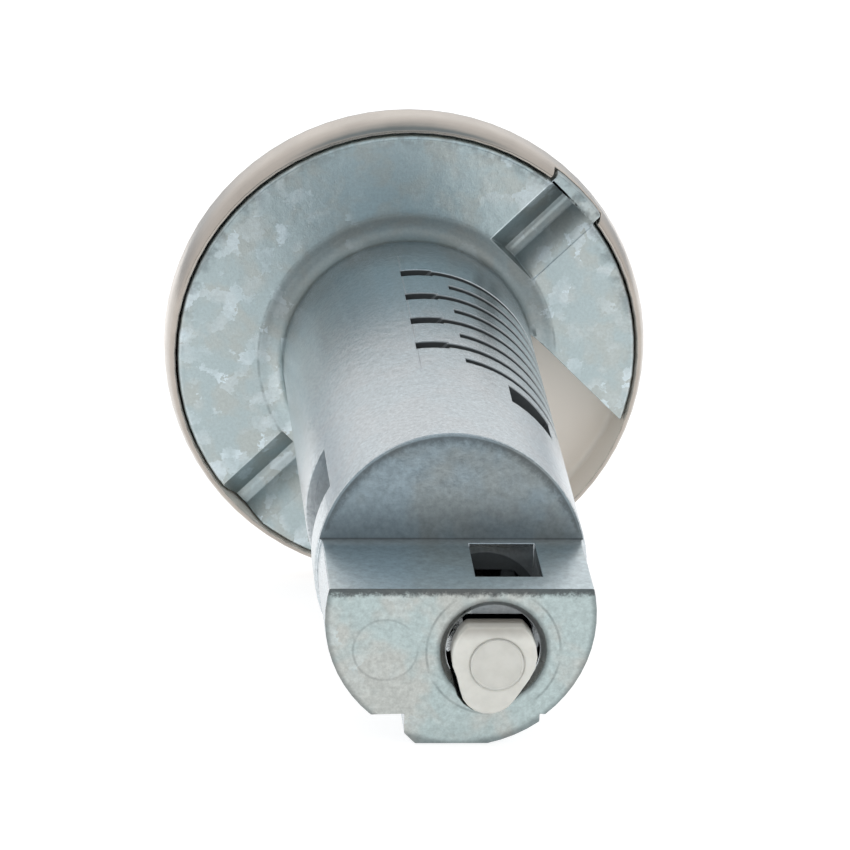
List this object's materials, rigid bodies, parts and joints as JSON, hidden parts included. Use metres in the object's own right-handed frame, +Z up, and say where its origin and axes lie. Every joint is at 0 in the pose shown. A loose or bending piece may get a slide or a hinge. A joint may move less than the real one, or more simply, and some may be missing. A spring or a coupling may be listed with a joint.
{
  "type": "ignition lock cylinder",
  "caption": "Die-cast ignition lock cylinder with a steel face cap, slotted wafer barrel and a D-shaped drive end that holds a sprung white plunger.",
  "frame": {"origin": "middle of the box on the surface that the lock lies on", "axes": "+Z up, lying on cap rim and heel; +Y towards the key face; the lock's axis leans 9.5 degrees down towards the drive end, which points to -Y"},
  "size_m": [0.0382, 0.0704, 0.0383],
  "materials": {
    "zinc_casting": "zinc-plated die casting, spangled blue-grey",
    "stainless_steel": "pressed and rolled, satin",
    "wafer_brass": "stamped",
    "spring_wire": "drawn wire",
    "white_nylon": "moulded, slightly glossy"
  },
  "bodies": {
    "lock": {"plug_body": "zinc_casting", "face_cap": "stainless_steel", "shutter_pin": "spring_wire", "wafer_spring_1": "spring_wire", "wafer_spring_2": "spring_wire", "wafer_spring_3": "spring_wire", "wafer_spring_4": "spring_wire", "wafer_spring_5": "spring_wire", "wafer_spring_6": "spring_wire", "wafer_spring_7": "spring_wire", "wafer_spring_8": "spring_wire", "side_bar_spring_1": "spring_wire", "side_bar_spring_2": "spring_wire", "shutter_spring": "spring_wire", "plunger_spring": "spring_wire"},
    "plunger": {"key_plunger": "white_nylon"},
    "shutter": {"key_shutter": "stainless_steel"},
    "side_bar": {"side_bar": "wafer_brass"},
    "wafer_1": {"wafer_1": "wafer_brass"},
    "wafer_2": {"wafer_2": "wafer_brass"},
    "wafer_3": {"wafer_3": "wafer_brass"},
    "wafer_4": {"wafer_4": "wafer_brass"},
    "wafer_5": {"wafer_5": "wafer_brass"},
    "wafer_6": {"wafer_6": "wafer_brass"},
    "wafer_7": {"wafer_7": "wafer_brass"},
    "wafer_8": {"wafer_8": "wafer_brass"}
  },
  "joints": [
    {"name": "plunger_slide", "type": "slide", "parent": "lock", "child": "plunger", "axis": [0, 0.9862, 0.1655], "range_m": [0, 0.0022], "stiffness_N_per_m": 100, "springref_m": -0.002, "deforming": ["plunger_spring"]},
    {"name": "shutter_hinge", "type": "hinge", "parent": "lock", "child": "shutter", "pos_m": [-0.00191, 0.0245, 0.02117], "axis": [-0.7071, 0.117, -0.6974], "range_deg": [0, 75], "stiffness_Nm_per_rad": 0.00002, "springref_deg": -57.3, "deforming": ["shutter_spring"]},
    {"name": "side_bar_slide", "type": "slide", "parent": "lock", "child": "side_bar", "axis": [-0.7071, -0.117, 0.6974], "range_m": [0, 0.0009], "stiffness_N_per_m": 60, "springref_m": -0.001, "deforming": ["side_bar_spring_1", "side_bar_spring_2"]},
    {"name": "wafer_slide_1", "type": "slide", "parent": "lock", "child": "wafer_1", "axis": [-0.7071, 0.117, -0.6974], "range_m": [0, 0.001], "stiffness_N_per_m": 40, "springref_m": -0.001, "deforming": ["wafer_spring_1"]},
    {"name": "wafer_slide_2", "type": "slide", "parent": "lock", "child": "wafer_2", "axis": [-0.7071, 0.117, -0.6974], "range_m": [0, 0.001], "stiffness_N_per_m": 40, "springref_m": -0.001, "deforming": ["wafer_spring_2"]},
    {"name": "wafer_slide_3", "type": "slide", "parent": "lock", "child": "wafer_3", "axis": [-0.7071, 0.117, -0.6974], "range_m": [0, 0.001], "stiffness_N_per_m": 40, "springref_m": -0.001, "deforming": ["wafer_spring_3"]},
    {"name": "wafer_slide_4", "type": "slide", "parent": "lock", "child": "wafer_4", "axis": [-0.7071, 0.117, -0.6974], "range_m": [0, 0.001], "stiffness_N_per_m": 40, "springref_m": -0.001, "deforming": ["wafer_spring_4"]},
    {"name": "wafer_slide_5", "type": "slide", "parent": "lock", "child": "wafer_5", "axis": [-0.7071, 0.117, -0.6974], "range_m": [0, 0.001], "stiffness_N_per_m": 40, "springref_m": -0.001, "deforming": ["wafer_spring_5"]},
    {"name": "wafer_slide_6", "type": "slide", "parent": "lock", "child": "wafer_6", "axis": [-0.7071, 0.117, -0.6974], "range_m": [0, 0.001], "stiffness_N_per_m": 40, "springref_m": -0.001, "deforming": ["wafer_spring_6"]},
    {"name": "wafer_slide_7", "type": "slide", "parent": "lock", "child": "wafer_7", "axis": [-0.7071, 0.117, -0.6974], "range_m": [0, 0.001], "stiffness_N_per_m": 40, "springref_m": -0.001, "deforming": ["wafer_spring_7"]},
    {"name": "wafer_slide_8", "type": "slide", "parent": "lock", "child": "wafer_8", "axis": [-0.7071, 0.117, -0.6974], "range_m": [0, 0.001], "stiffness_N_per_m": 40, "springref_m": -0.001, "deforming": ["wafer_spring_8"]}
  ]
}
